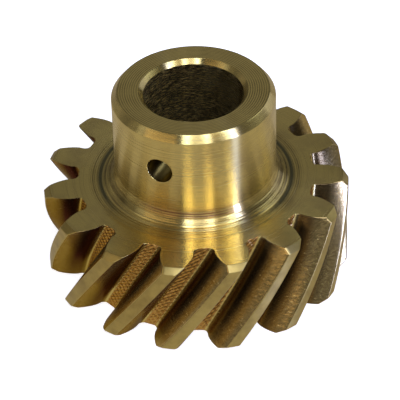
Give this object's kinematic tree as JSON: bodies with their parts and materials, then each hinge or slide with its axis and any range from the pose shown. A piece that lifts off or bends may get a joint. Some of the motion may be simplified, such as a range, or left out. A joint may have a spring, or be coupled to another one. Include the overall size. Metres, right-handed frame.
{
  "type": "helical gear",
  "caption": "Right-hand helical gear with a long hub, a through bore for a shaft and a pin hole in one wall of the hub.",
  "frame": {"origin": "on the bore axis, in the back face of the toothed rim (the face away from the hub)", "axes": "+Z along the bore axis, towards the hub; the pin hole opens towards -Y"},
  "size_m": [0.037, 0.037, 0.0252],
  "materials": {
    "bronze": "machined, as turned and hobbed"
  },
  "bodies": {
    "root": {"helical_gear": "bronze"}
  },
  "joints": []
}
